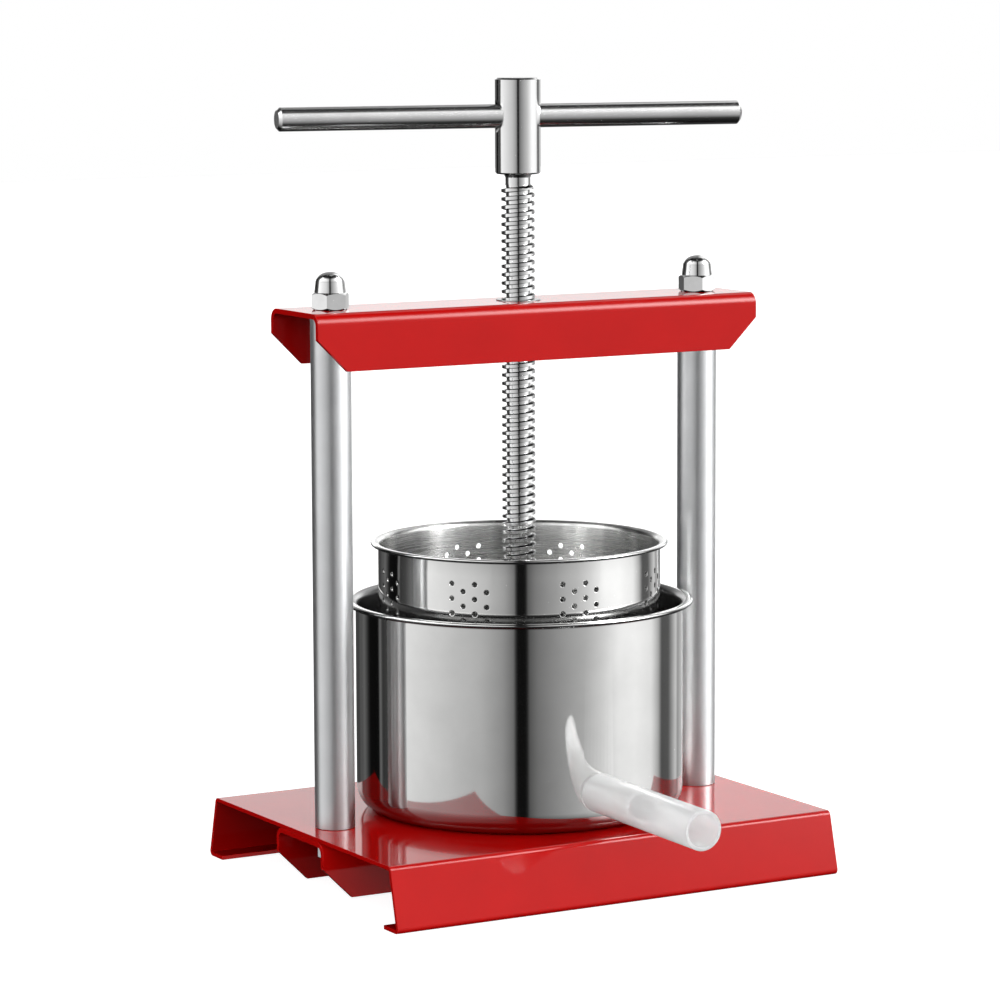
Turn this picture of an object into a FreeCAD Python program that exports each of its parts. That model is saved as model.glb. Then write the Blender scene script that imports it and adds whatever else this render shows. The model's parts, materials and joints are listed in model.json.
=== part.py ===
"""Bench-top cheese press: a red folded-steel frame, a T-handled press screw, a perforated
basket standing in an outer whey pot, and a whey outlet with a short push-on hose.

Millimetres. Z is up, X runs along the beam, and the whey outlet points towards -Y.
The origin is the middle of the footprint, on the surface that the press stands on.
"""
import FreeCAD, Part
import math
import os

V = FreeCAD.Vector
UP = V(0, 0, 1)

# Base tray: folded sheet, its front and rear flanges slanting outwards to inturned lips.
TRAY_LENGTH = 240.0
TRAY_TOP_WIDTH = 180.0
TRAY_FOOT_WIDTH = 195.2
TRAY_HEIGHT = 30.0
TRAY_LIP = 14.3
TRAY_SHEET = 2.0
TRAY_BEND = 2.4

# Two equal inverted channels: one is the top beam, the other stiffens the tray from below.
BEAM_LENGTH = 240.0
BEAM_WIDTH = 48.0
BEAM_DEPTH = 27.0
BEAM_SHEET = 2.5
BEAM_BEND = 5.5
BEAM_END_HEIGHT = 12.0
BEAM_END_CUT = 15.3
BEAM_TOP = 275.0

# Posts and the M10 tie rods that clamp beam, posts, tray and channel together.
POST_SPACING = 202.0
POST_RADIUS = 9.5
POST_WALL = 1.5
ROD_RADIUS = 5.0
ROD_FOOT = 12.0
ROD_TIP = 286.0
ROD_CHAMFER = 1.0
ROD_HOLE_RADIUS = 5.25
HEX_ACROSS_FLATS = 16.0
HEX_CHAMFER_ANGLE = 35.0
HEX_FACE_SHARE = 0.95
WASHER_RADIUS = 10.0
WASHER_THICKNESS = 2.0
NUT_HEIGHT = 8.0
CAP_HEX_HEIGHT = 8.0
CAP_HEIGHT = 17.6
CAP_DOME_RADIUS = 7.4
CAP_SHOULDER_RADIUS = 6.8
CAP_SHOULDER_HEIGHT = 12.9
CAP_BORE_DEPTH = 13.0
CAP_TURNS = (22.6, 44.4)

# Trapezoidal screw, 16 mm outside and 4 mm pitch, right hand, with its bush in the beam.
PITCH = 4.0
THREAD_RADIUS = 8.0
CORE_RADIUS = 5.75
FLANK_ANGLE = 15.0
THREAD_CHAMFER = 1.8
THREAD_START = 118.0
THREAD_END = 330.2
THREAD_PHASE = 1.4
NECK_RADIUS = 6.0
NECK_FLARE = 0.8
SPIGOT_DEPTH = 18.0
BUSH_RADIAL_GAP = 0.25
BUSH_FLANK_GAP = 0.15
BUSH_TOP_RADIUS = 10.6
BUSH_PROUD = 0.4
BUSH_COLLAR_RADIUS = 16.0
BUSH_COLLAR = 4.0
BUSH_BARREL_RADIUS = 13.0
BUSH_FOOT = 251.0

# Handle: a turned hub on the screw with a plain cross bar through it, a little off centre.
HUB_RADIUS = 10.8
HUB_FOOT = 335.0
HUB_TOP = 380.5
HUB_CHAMFER = 0.8
BAR_HEIGHT = 362.5
BAR_RADIUS = 5.65
BAR_LENGTH = 231.6
BAR_OFFSET = -2.9
BAR_YAW = -11.0
BAR_CHAMFER = 1.4

# Pressure plate with a boss, turning on the screw's journal and held by a retaining ring.
PLATE_FOOT = 96.0
PLATE_THICKNESS = 6.0
PLATE_RADIUS = 65.5
PLATE_EDGE = 1.0
BOSS_RADIUS = 16.0
BOSS_HEIGHT = 14.0
JOURNAL_RADIUS = 5.0
JOURNAL_GAP = 0.05
JOURNAL_TIP = 97.0
RING_FOOT = 98.2
RING_THICKNESS = 1.0
RING_RADIUS = 8.8
GROOVE_RADIUS = 4.8
RING_GAP = 3.0
RECESS_RADIUS = 11.0
END_PLAY = 0.1

# Outer pot, flared at the mouth into a closed hem.
POT_RADIUS = 78.9
POT_SHEET = 1.0
POT_TOP = 131.6
POT_RIM_RADIUS = 83.5
POT_RIM_DEPTH = 2.2
POT_FLARE = 2.4
POT_CORNER = 11.0

# Perforated basket with the same flared and hemmed mouth.
BASKET_RADIUS = 67.8
BASKET_SHEET = 0.8
BASKET_TOP = 159.7
BASKET_RIM_RADIUS = 71.4
BASKET_RIM_DEPTH = 1.8
BASKET_FLARE = 1.8
BASKET_CORNER = 6.0
HOLE_RADIUS = 1.25
HOLE_GROUPS = 8
HOLE_GROUP_TURN = 39.6
HOLE_COLUMNS = 4
HOLE_COLUMN_STEP = 5.8
HOLE_ROW_STEP = 7.0
HOLE_ROWS = 15
HOLE_TOP = 147.4
FLOOR_HOLE_RINGS = 5
FLOOR_HOLE_STEP = 11.0

# Whey outlet: a stub through the pot wall and the hose pushed over it.
OUTLET_HEIGHT = 50.0
OUTLET_TURN = -92.3
STUB_RADIUS = 7.5
STUB_BORE = 6.5
STUB_REACH = 120.0
HOSE_RADIUS = 9.3
HOSE_BORE = 7.55
HOSE_START = 79.4
HOSE_REACH = 175.4

BEAM_SEAT = BEAM_TOP - BEAM_SHEET
CHANNEL_TOP = TRAY_HEIGHT - TRAY_SHEET
CHANNEL_SEAT = CHANNEL_TOP - BEAM_SHEET
PLATE_TOP = PLATE_FOOT + PLATE_THICKNESS
BOSS_TOP = PLATE_TOP + BOSS_HEIGHT
RING_TOP = RING_FOOT + RING_THICKNESS
POT_FOOT = TRAY_HEIGHT
BASKET_FOOT = POT_FOOT + POT_SHEET
POST_PLACES = (-POST_SPACING / 2, POST_SPACING / 2)


def direction(start, end):
    """Unit vector from one point to the next."""
    step = end - start
    return step * (1.0 / step.Length)


def left_of(heading):
    """Unit vector to the left of a heading in the XZ plane."""
    return V(-heading.z, 0, heading.x)


def shifted_path(points, distance):
    """An open path in the XZ plane, moved to its left by a distance."""
    headings = [direction(a, b) for a, b in zip(points, points[1:])]
    sides = [left_of(heading) for heading in headings]
    moved = [points[0] + sides[0] * distance]
    for point, side, next_side in zip(points[1:], sides, sides[1:]):
        moved.append(point + (side + next_side) * (distance / (1 + side.dot(next_side))))
    moved.append(points[-1] + sides[-1] * distance)
    return moved


def rounded_edges(points, radii):
    """Straight edges through the points, with a tangent arc of each radius at each corner."""
    edges = []
    place = points[0]
    for before, corner, after, radius in zip(points, points[1:], points[2:], radii):
        inward = direction(before, corner)
        outward = direction(corner, after)
        half_turn = inward.getAngle(outward) / 2
        reach = radius * math.tan(half_turn)
        start = corner - inward * reach
        end = corner + outward * reach
        towards_centre = (outward - inward).normalize()
        middle = corner + towards_centre * (radius / math.cos(half_turn) - radius)
        if start.distanceToPoint(place) > 1e-6:
            edges.append(Part.LineSegment(place, start).toShape())
        edges.append(Part.Arc(start, middle, end).toShape())
        place = end
    edges.append(Part.LineSegment(place, points[-1]).toShape())
    return edges


def bent_sheet(outline, radii, thickness):
    """Section of a bent sheet. The outline is its outer face as (x, z) pairs with a radius at
    each corner, and the sheet lies to the left of it."""
    face_path = [V(x, 0, z) for x, z in outline]
    back_path = shifted_path(face_path, thickness)
    back_radii = []
    for before, corner, after, radius in zip(face_path, face_path[1:], face_path[2:], radii):
        turns_left = left_of(direction(before, corner)).dot(direction(corner, after)) > 0
        back_radii.append(radius - thickness if turns_left else radius + thickness)
    start_cap = Part.LineSegment(back_path[0], face_path[0]).toShape()
    end_cap = Part.LineSegment(face_path[-1], back_path[-1]).toShape()
    edges = rounded_edges(face_path, radii)
    edges += [end_cap] + rounded_edges(back_path, back_radii) + [start_cap]
    return Part.Face(Part.Wire(Part.__sortEdges__(edges)))


def along_x(section, length):
    """A section drawn in the XZ plane, run along X and centred there."""
    solid = section.extrude(V(0, length, 0))
    solid.translate(V(0, -length / 2, 0))
    solid.rotate(V(0, 0, 0), UP, 90)
    return solid


def turned(outline):
    """Solid of revolution about Z from an outline of (radius, z) pairs."""
    corners = [V(radius, 0, z) for radius, z in outline]
    wire = Part.makePolygon(corners + corners[:1])
    return Part.Face(wire).revolve(V(0, 0, 0), UP, 360)


def cylinder(radius, bottom, top, x=0.0, y=0.0):
    """Upright cylinder between two heights."""
    return Part.makeCylinder(radius, top - bottom, V(x, y, bottom))


def rod_holes(bottom, top):
    """Clearance holes for both tie rods."""
    return [cylinder(ROD_HOLE_RADIUS, bottom, top, x) for x in POST_PLACES]


def hex_prism(bottom, top, x, turn=30.0):
    """Upright hexagonal prism, its corners trimmed by a cone at each end. One of its flats
    faces the direction at the angle turn."""
    corner_radius = HEX_ACROSS_FLATS / math.sqrt(3)
    angles = [math.radians(turn + 30 + 60 * i) for i in range(7)]
    corners = [V(x + corner_radius * math.cos(a), corner_radius * math.sin(a), bottom) for a in angles]
    prism = Part.Face(Part.makePolygon(corners)).extrude(V(0, 0, top - bottom))
    flat_radius = HEX_ACROSS_FLATS / 2 * HEX_FACE_SHARE
    drop = (corner_radius - flat_radius) * math.tan(math.radians(HEX_CHAMFER_ANGLE))
    trim = turned([(0, bottom), (flat_radius, bottom), (corner_radius, bottom + drop),
                   (corner_radius, top - drop), (flat_radius, top), (0, top)])
    trim.translate(V(x, 0, 0))
    return prism.common(trim)


def base_tray():
    """Folded tray: top plate, slanting front and rear flanges, lips turned in at the floor."""
    foot = TRAY_FOOT_WIDTH / 2
    top = TRAY_TOP_WIDTH / 2
    outline = [(foot - TRAY_LIP, 0), (foot, 0), (top, TRAY_HEIGHT),
               (-top, TRAY_HEIGHT), (-foot, 0), (TRAY_LIP - foot, 0)]
    tray = along_x(bent_sheet(outline, [TRAY_BEND] * 4, TRAY_SHEET), TRAY_LENGTH)
    return tray.cut(rod_holes(0, TRAY_HEIGHT + 1))


def channel(top):
    """Inverted channel along X whose flanges are cut back at both ends, with its rod holes."""
    side = BEAM_WIDTH / 2
    foot = top - BEAM_DEPTH
    outline = [(side, foot), (side, top), (-side, top), (-side, foot)]
    solid = along_x(bent_sheet(outline, [BEAM_BEND] * 2, BEAM_SHEET), BEAM_LENGTH)
    end = BEAM_LENGTH / 2
    shoulder = top - BEAM_END_HEIGHT
    for sign in (-1, 1):
        corner = [V(sign * end, 0, shoulder), V(sign * (end - BEAM_END_CUT), 0, foot),
                  V(sign * (end + 1), 0, foot - 1), V(sign * (end + 1), 0, shoulder)]
        cutter = Part.Face(Part.makePolygon(corner + corner[:1])).extrude(V(0, BEAM_WIDTH + 2, 0))
        cutter.translate(V(0, -BEAM_WIDTH / 2 - 1, 0))
        solid = solid.cut(cutter)
    return solid.cut(rod_holes(foot, top + 1))


def top_beam():
    """Channel that carries the screw bush."""
    return channel(BEAM_TOP).cut(cylinder(BUSH_TOP_RADIUS, BEAM_SEAT - 1, BEAM_TOP + 1))


def post(x):
    """Tubular post between the tray and the beam."""
    outer = cylinder(POST_RADIUS, TRAY_HEIGHT, BEAM_SEAT, x)
    return outer.cut(cylinder(POST_RADIUS - POST_WALL, TRAY_HEIGHT, BEAM_SEAT, x))


def tie_rod(x):
    """Rod through the post, chamfered at both ends."""
    rod = turned([(0, ROD_FOOT), (ROD_RADIUS - ROD_CHAMFER, ROD_FOOT),
                  (ROD_RADIUS, ROD_FOOT + ROD_CHAMFER), (ROD_RADIUS, ROD_TIP - ROD_CHAMFER),
                  (ROD_RADIUS - ROD_CHAMFER, ROD_TIP), (0, ROD_TIP)])
    rod.translate(V(x, 0, 0))
    return rod


def cap_nut(x, turn):
    """Domed cap nut standing on the beam, with a blind bore. The dome tapers to a shoulder and
    closes in a half ellipse."""
    shoulder = BEAM_TOP + CAP_SHOULDER_HEIGHT
    rise = CAP_HEIGHT - CAP_SHOULDER_HEIGHT
    crown = [(CAP_SHOULDER_RADIUS * math.cos(math.radians(a)), shoulder + rise * math.sin(math.radians(a)))
             for a in range(0, 90, 6)]
    dome = turned([(0, BEAM_TOP), (CAP_DOME_RADIUS, BEAM_TOP), (CAP_DOME_RADIUS, BEAM_TOP + CAP_HEX_HEIGHT)]
                  + crown + [(0, BEAM_TOP + CAP_HEIGHT)])
    dome.translate(V(x, 0, 0))
    nut = hex_prism(BEAM_TOP, BEAM_TOP + CAP_HEX_HEIGHT, x, turn).fuse(dome)
    return nut.cut(cylinder(ROD_RADIUS, BEAM_TOP - 1, BEAM_TOP + CAP_BORE_DEPTH, x)).removeSplitter()


def base_washers():
    """Flat washers under the stiffening channel, one on each tie rod."""
    foot = CHANNEL_SEAT - WASHER_THICKNESS
    discs = [cylinder(WASHER_RADIUS, foot, CHANNEL_SEAT, x) for x in POST_PLACES]
    return Part.makeCompound([disc.cut(rod_holes(foot - 1, CHANNEL_SEAT + 1)) for disc in discs])


def base_nuts():
    """Hexagon nuts that draw both tie rods down."""
    top = CHANNEL_SEAT - WASHER_THICKNESS
    foot = top - NUT_HEIGHT
    nuts = []
    for x in POST_PLACES:
        bore = cylinder(ROD_RADIUS, foot - 1, top + 1, x)
        nuts.append(hex_prism(foot, top, x).cut(bore))
    return Part.makeCompound(nuts)


def thread_ridge(foot, top, outside, inside, flank_gap):
    """Helical trapezoidal ridge, at least as long as the height between foot and top. It starts
    a whole number of pitches above the phase height, so that the screw and its bush are in phase."""
    first = math.floor(foot / PITCH - 2) * PITCH + THREAD_PHASE
    turns = math.ceil((top - first) / PITCH) + 1
    pitch_radius = THREAD_RADIUS - PITCH / 4
    slope = math.tan(math.radians(FLANK_ANGLE))

    def half_width(radius):
        return PITCH / 4 + (pitch_radius - radius) * slope + flank_gap

    section = [V(inside, 0, -half_width(inside)), V(outside, 0, -half_width(outside)),
               V(outside, 0, half_width(outside)), V(inside, 0, half_width(inside))]
    for corner in section:
        corner.z += first
    path = Part.makeLongHelix(PITCH, turns * PITCH, pitch_radius, 0, False)
    path.translate(V(0, 0, first))
    sweep = Part.BRepOffsetAPI.MakePipeShell(path)
    sweep.setFrenetMode(True)
    sweep.add(Part.makePolygon(section + section[:1]), False, False)
    sweep.build()
    sweep.makeSolid()
    return sweep.shape()


def screw_bush():
    """Threaded bush: spigot through the beam's web, collar and barrel beneath it."""
    top = BEAM_TOP + BUSH_PROUD
    collar_foot = BEAM_SEAT - BUSH_COLLAR
    body = turned([(0, BUSH_FOOT), (BUSH_BARREL_RADIUS - 1, BUSH_FOOT),
                   (BUSH_BARREL_RADIUS, BUSH_FOOT + 1), (BUSH_BARREL_RADIUS, collar_foot),
                   (BUSH_COLLAR_RADIUS, collar_foot), (BUSH_COLLAR_RADIUS, BEAM_SEAT),
                   (BUSH_TOP_RADIUS, BEAM_SEAT), (BUSH_TOP_RADIUS, top), (0, top)])
    bore = CORE_RADIUS + BUSH_RADIAL_GAP
    mouth = THREAD_RADIUS + BUSH_RADIAL_GAP
    body = body.cut(cylinder(bore, BUSH_FOOT - 1, top + 1))
    lead_in = mouth - bore
    for end, inner in ((top, top - lead_in), (BUSH_FOOT, BUSH_FOOT + lead_in)):
        body = body.cut(turned([(0, inner), (bore, inner), (mouth, end), (0, end)]))
    groove = thread_ridge(BUSH_FOOT, top, mouth, bore - 0.4, BUSH_FLANK_GAP)
    groove = groove.common(cylinder(mouth + 1, BUSH_FOOT - 1, top + 1))
    return body.cut(groove)


def press_screw():
    """Threaded spindle with a neck and spigot for the hub and a grooved journal below."""
    top = HUB_FOOT + SPIGOT_DEPTH
    core = turned([(0, JOURNAL_TIP), (JOURNAL_RADIUS - 0.5, JOURNAL_TIP),
                   (JOURNAL_RADIUS, JOURNAL_TIP + 0.5), (JOURNAL_RADIUS, RING_FOOT),
                   (GROOVE_RADIUS, RING_FOOT), (GROOVE_RADIUS, RING_TOP),
                   (JOURNAL_RADIUS, RING_TOP), (JOURNAL_RADIUS, BOSS_TOP + END_PLAY),
                   (CORE_RADIUS, BOSS_TOP + END_PLAY), (CORE_RADIUS, THREAD_END),
                   (NECK_RADIUS, THREAD_END), (NECK_RADIUS, HUB_FOOT - 2 * NECK_FLARE),
                   (NECK_RADIUS + NECK_FLARE, HUB_FOOT), (NECK_RADIUS, HUB_FOOT),
                   (NECK_RADIUS, top), (0, top)])
    ridge = thread_ridge(THREAD_START, THREAD_END, THREAD_RADIUS, CORE_RADIUS - 0.3, 0)
    core_edge = THREAD_RADIUS - THREAD_CHAMFER
    envelope = turned([(0, THREAD_START), (core_edge, THREAD_START),
                       (THREAD_RADIUS + 0.1, THREAD_START + THREAD_CHAMFER + 0.1),
                       (THREAD_RADIUS + 0.1, THREAD_END - THREAD_CHAMFER - 0.1),
                       (core_edge, THREAD_END), (0, THREAD_END)])
    return core.fuse(ridge.common(envelope))


def bar_direction():
    """Unit vector along the handle bar."""
    yaw = math.radians(BAR_YAW)
    return V(math.cos(yaw), math.sin(yaw), 0)


def handle_hub():
    """Turned hub with a blind bore for the screw's spigot and a chamfered cross hole."""
    hub = turned([(0, HUB_FOOT), (HUB_RADIUS - HUB_CHAMFER, HUB_FOOT),
                  (HUB_RADIUS, HUB_FOOT + HUB_CHAMFER), (HUB_RADIUS, HUB_TOP - HUB_CHAMFER),
                  (HUB_RADIUS - HUB_CHAMFER, HUB_TOP), (0, HUB_TOP)])
    hub = hub.cut(cylinder(NECK_RADIUS, HUB_FOOT - 1, HUB_FOOT + SPIGOT_DEPTH))
    along = bar_direction()
    axis_point = V(0, 0, BAR_HEIGHT)
    hub = hub.cut(Part.makeCylinder(BAR_RADIUS, 4 * HUB_RADIUS, axis_point - along * 2 * HUB_RADIUS, along))
    for side in (-1, 1):
        mouth = axis_point + along * (side * (HUB_RADIUS + 0.2))
        cone = Part.makeCone(BAR_RADIUS + 2.2, BAR_RADIUS, 2.2, mouth, along * -side)
        hub = hub.cut(cone)
    return hub


def handle_bar():
    """Plain round cross bar, chamfered at both ends."""
    half = BAR_LENGTH / 2
    bar = turned([(0, -half), (BAR_RADIUS - BAR_CHAMFER, -half), (BAR_RADIUS, BAR_CHAMFER - half),
                  (BAR_RADIUS, half - BAR_CHAMFER), (BAR_RADIUS - BAR_CHAMFER, half), (0, half)])
    middle = V(0, 0, BAR_HEIGHT) + bar_direction() * BAR_OFFSET
    bar.Placement = FreeCAD.Placement(middle, FreeCAD.Rotation(UP, bar_direction()))
    return bar


def retaining_ring():
    """Open spring ring in the journal's groove."""
    ring = cylinder(RING_RADIUS, RING_FOOT, RING_TOP).cut(cylinder(GROOVE_RADIUS, RING_FOOT, RING_TOP))
    gap = Part.makeBox(RING_RADIUS + 1, RING_GAP, 2 * RING_THICKNESS,
                       V(0, -RING_GAP / 2, RING_FOOT - RING_THICKNESS / 2))
    return ring.cut(gap)


def pressure_plate():
    """Round plate with chamfered edges and a recess for the retaining ring."""
    rim = PLATE_RADIUS - PLATE_EDGE
    plate = turned([(0, PLATE_FOOT), (rim, PLATE_FOOT), (PLATE_RADIUS, PLATE_FOOT + PLATE_EDGE),
                    (PLATE_RADIUS, PLATE_TOP - PLATE_EDGE), (rim, PLATE_TOP), (0, PLATE_TOP)])
    plate = plate.cut(cylinder(RECESS_RADIUS, PLATE_FOOT - 1, RING_TOP + END_PLAY))
    return plate.cut(cylinder(JOURNAL_RADIUS + JOURNAL_GAP, PLATE_FOOT - 1, PLATE_TOP + 1))


def plate_boss():
    """Boss on the plate that takes the screw's thrust."""
    boss = turned([(0, PLATE_TOP), (BOSS_RADIUS, PLATE_TOP), (BOSS_RADIUS, BOSS_TOP - 1),
                   (BOSS_RADIUS - 1, BOSS_TOP), (0, BOSS_TOP)])
    return boss.cut(cylinder(JOURNAL_RADIUS + JOURNAL_GAP, PLATE_TOP - 1, BOSS_TOP + 1))


def rimmed_pan(foot, top, radius, corner, sheet, rim_radius, rim_depth, flare):
    """Round pan of bent sheet whose mouth flares outwards and is hemmed under."""
    curl = rim_depth / 2 - sheet
    flange = top - sheet
    tuck = top - rim_depth + sheet
    edge = rim_radius - sheet
    hem_end = (radius + edge) / 2
    outline = [(0, foot), (radius, foot), (radius, flange), (edge, flange), (edge, tuck), (hem_end, tuck)]
    section = bent_sheet(outline, [corner, flare, curl, curl], sheet)
    return section.revolve(V(0, 0, 0), UP, 360)


def outlet_tube(radius, start, end):
    """Cylinder along the whey outlet, between two distances from the pot's axis."""
    turn = math.radians(OUTLET_TURN)
    along = V(math.cos(turn), math.sin(turn), 0)
    return Part.makeCylinder(radius, end - start, V(0, 0, OUTLET_HEIGHT) + along * start, along)


def outer_pot():
    """Whey pot, with the hole for its outlet."""
    pot = rimmed_pan(POT_FOOT, POT_TOP, POT_RADIUS, POT_CORNER, POT_SHEET,
                     POT_RIM_RADIUS, POT_RIM_DEPTH, POT_FLARE)
    return pot.cut(outlet_tube(STUB_RADIUS, POT_RADIUS / 2, STUB_REACH))


def spout_stub():
    """Outlet tube, cut to the inside of the pot's wall."""
    tube = outlet_tube(STUB_RADIUS, POT_RADIUS / 2, STUB_REACH)
    tube = tube.cut(outlet_tube(STUB_BORE, 0, STUB_REACH + 1))
    return tube.cut(cylinder(POT_RADIUS - POT_SHEET, POT_FOOT, POT_TOP))


def outlet_hose():
    """Short straight hose pushed over the stub."""
    return outlet_tube(HOSE_RADIUS, HOSE_START, HOSE_REACH).cut(
        outlet_tube(HOSE_BORE, HOSE_START - 1, HOSE_REACH + 1))


def wall_holes():
    """Radial drills through the basket's wall, in groups of staggered columns."""
    column_angle = HOLE_COLUMN_STEP / BASKET_RADIUS
    drills = []
    for group in range(HOLE_GROUPS):
        middle = math.radians(HOLE_GROUP_TURN + group * 360 / HOLE_GROUPS)
        for column in range(HOLE_COLUMNS):
            angle = middle + (column - (HOLE_COLUMNS - 1) / 2) * column_angle
            outward = V(math.cos(angle), math.sin(angle), 0)
            stagger = HOLE_ROW_STEP / 2 * (column % 2)
            for row in range(HOLE_ROWS):
                height = V(0, 0, HOLE_TOP - stagger - row * HOLE_ROW_STEP)
                start = height + outward * (BASKET_RADIUS - 3)
                drills.append(Part.makeCylinder(HOLE_RADIUS, 6, start, outward))
    return drills


def floor_holes():
    """Drills through the basket's floor, in rings round a centre hole."""
    places = [V(0, 0, BASKET_FOOT - 1)]
    for ring in range(1, FLOOR_HOLE_RINGS + 1):
        radius = ring * FLOOR_HOLE_STEP
        count = 6 * ring
        for i in range(count):
            angle = 2 * math.pi * i / count
            places.append(V(radius * math.cos(angle), radius * math.sin(angle), BASKET_FOOT - 1))
    return [Part.makeCylinder(HOLE_RADIUS, 3, place) for place in places]


def basket():
    """Perforated basket standing on the pot's floor."""
    shell = rimmed_pan(BASKET_FOOT, BASKET_TOP, BASKET_RADIUS, BASKET_CORNER, BASKET_SHEET,
                       BASKET_RIM_RADIUS, BASKET_RIM_DEPTH, BASKET_FLARE)
    return shell.cut(wall_holes() + floor_holes())


PIECES = {
    "base_tray": base_tray,
    "base_channel": lambda: channel(CHANNEL_TOP),
    "left_post": lambda: post(POST_PLACES[0]),
    "right_post": lambda: post(POST_PLACES[1]),
    "left_tie_rod": lambda: tie_rod(POST_PLACES[0]),
    "right_tie_rod": lambda: tie_rod(POST_PLACES[1]),
    "left_cap_nut": lambda: cap_nut(POST_PLACES[0], CAP_TURNS[0]),
    "right_cap_nut": lambda: cap_nut(POST_PLACES[1], CAP_TURNS[1]),
    "base_washers": base_washers,
    "base_nuts": base_nuts,
    "top_beam": top_beam,
    "screw_bush": screw_bush,
    "press_screw": press_screw,
    "handle_hub": handle_hub,
    "handle_bar": handle_bar,
    "retaining_ring": retaining_ring,
    "pressure_plate": pressure_plate,
    "plate_boss": plate_boss,
    "outer_pot": outer_pot,
    "spout_stub": spout_stub,
    "outlet_hose": outlet_hose,
    "basket": basket,
}

os.makedirs("parts", exist_ok=True)
for name, build in PIECES.items():
    shape = build()
    shape.exportStep(os.path.join("parts", name + ".step"))
    print(name, len(shape.Solids), "solids", round(shape.Volume / 1000, 2), "cm3", shape.isValid())
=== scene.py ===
"""Looks of the bench-top cheese press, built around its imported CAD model. Metres.

The folded sheets, the posts, the pot, the basket and the hose are rebuilt here with finer
edges than the CAD solids have. All the other parts stay CAD nodes with better materials.
"""
import json
import math

import bmesh
import bpy
from mathutils import Matrix, Vector


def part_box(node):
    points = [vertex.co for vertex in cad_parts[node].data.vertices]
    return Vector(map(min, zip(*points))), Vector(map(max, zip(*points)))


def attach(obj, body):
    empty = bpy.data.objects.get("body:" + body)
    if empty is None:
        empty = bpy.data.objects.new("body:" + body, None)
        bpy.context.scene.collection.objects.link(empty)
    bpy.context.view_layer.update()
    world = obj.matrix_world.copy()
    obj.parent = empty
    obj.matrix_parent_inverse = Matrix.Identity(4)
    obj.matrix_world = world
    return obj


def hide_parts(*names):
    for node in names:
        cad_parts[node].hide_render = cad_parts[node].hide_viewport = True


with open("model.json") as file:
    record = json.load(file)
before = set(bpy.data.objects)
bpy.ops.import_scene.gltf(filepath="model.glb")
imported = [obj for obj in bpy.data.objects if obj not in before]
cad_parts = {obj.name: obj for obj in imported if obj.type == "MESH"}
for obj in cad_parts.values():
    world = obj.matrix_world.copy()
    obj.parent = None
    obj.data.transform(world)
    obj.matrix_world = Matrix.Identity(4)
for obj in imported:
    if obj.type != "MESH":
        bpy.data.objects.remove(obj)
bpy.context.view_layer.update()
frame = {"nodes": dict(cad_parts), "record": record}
nodes = frame["nodes"]

MM = 0.001
TAU = 2 * math.pi
UP = Vector((0, 0, 1))

# Sheet metal
TRAY_TOP_WIDTH = 180 * MM
TRAY_FOOT_WIDTH = 195.2 * MM
TRAY_LIP = 14.3 * MM
TRAY_SHEET = 2 * MM
TRAY_BEND = 2.4 * MM
BEAM_SHEET = 2.5 * MM
BEAM_BEND = 5.5 * MM
BEAM_END_HEIGHT = 12 * MM
BEAM_END_CUT = 15.3 * MM
ROD_HOLE_RADIUS = 5.25 * MM
BUSH_HOLE_RADIUS = 10.6 * MM
HOLE_CUTTER = 12 * MM
EDGE_ROUNDING = 0.25 * MM

# Posts
POST_WALL = 1.5 * MM
POST_EDGE = 0.3 * MM

# Round sheet-metal vessels
POT_SHEET = 1 * MM
POT_CORNER = 11 * MM
POT_RIM_DEPTH = 2.2 * MM
POT_FLARE = 2.4 * MM
POT_RIM_OVERHANG = 4.6 * MM
BASKET_SHEET = 0.8 * MM
BASKET_CORNER = 6 * MM
BASKET_RIM_DEPTH = 1.8 * MM
BASKET_FLARE = 1.8 * MM
BASKET_RIM_OVERHANG = 3.6 * MM
# Heights between which the basket's inside darkens with painted shade
INSIDE_SHADE_HEIGHTS = (131 * MM, 139.5 * MM)

# Thread
THREAD_TOP = 330.2 * MM
ROOT_RADIUS = 6.0 * MM
CREST_RADIUS = 7.55 * MM
FLANK_EDGE = 0.3 * MM
THREAD_END = 0.5 * MM

# Perforations
HOLE_RADIUS = 1.25 * MM
HOLE_EDGE = 0.16 * MM
# Rings round a hole, as how far outside it and how deep in the sheet, in multiples of its edge
HOLE_RINGS = ((2.4, 0), (1, 0), (0.3, 0.3), (0, 1))
HOLE_GROUPS = 8
HOLE_GROUP_TURN = math.radians(39.6)
HOLE_COLUMNS = 4
HOLE_COLUMN_STEP = 5.8 * MM
HOLE_ROW_STEP = 7 * MM
HOLE_ROWS = 15
HOLE_TOP = 147.4 * MM
CELL_STEPS = 6
PLAIN_STEPS = 8
FLOOR_HOLE_RINGS = 5
FLOOR_HOLE_STEP = 11 * MM
FLOOR_HOLE_CUTTER = 4 * MM

# Outlet
OUTLET_HEIGHT = 50 * MM
STUB_RADIUS = 7.5 * MM
HOSE_RADIUS = 9.3 * MM
HOSE_BORE = 7.55 * MM  # radius of its bore
HOSE_START = 79.4 * MM
HOSE_REACH = 175.4 * MM
HOSE_EDGE = 0.5 * MM
OUTLET_CUTTER = 30 * MM

ARC_STEPS = 8
ROUND_STEPS = 256
POST_STEPS = 128
HOSE_STEPS = 96
HOSE_EDGE_STEPS = 4
CUTTER_STEPS = 64
FLOOR_CUTTER_STEPS = 20

# Shares of a colour: in a material's mottling, in the red coat's painted darker reflections, and in the
# painted shade deep in the basket
CLOUD_SHADE = 0.93
PLATE_SHADE = 0.86
PAINTED_REFLECTION_SHADE = 0.45
PAINTED_DEPTH_SHADE = 0.22


# ---------------------------------------------------------------- outlines

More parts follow.
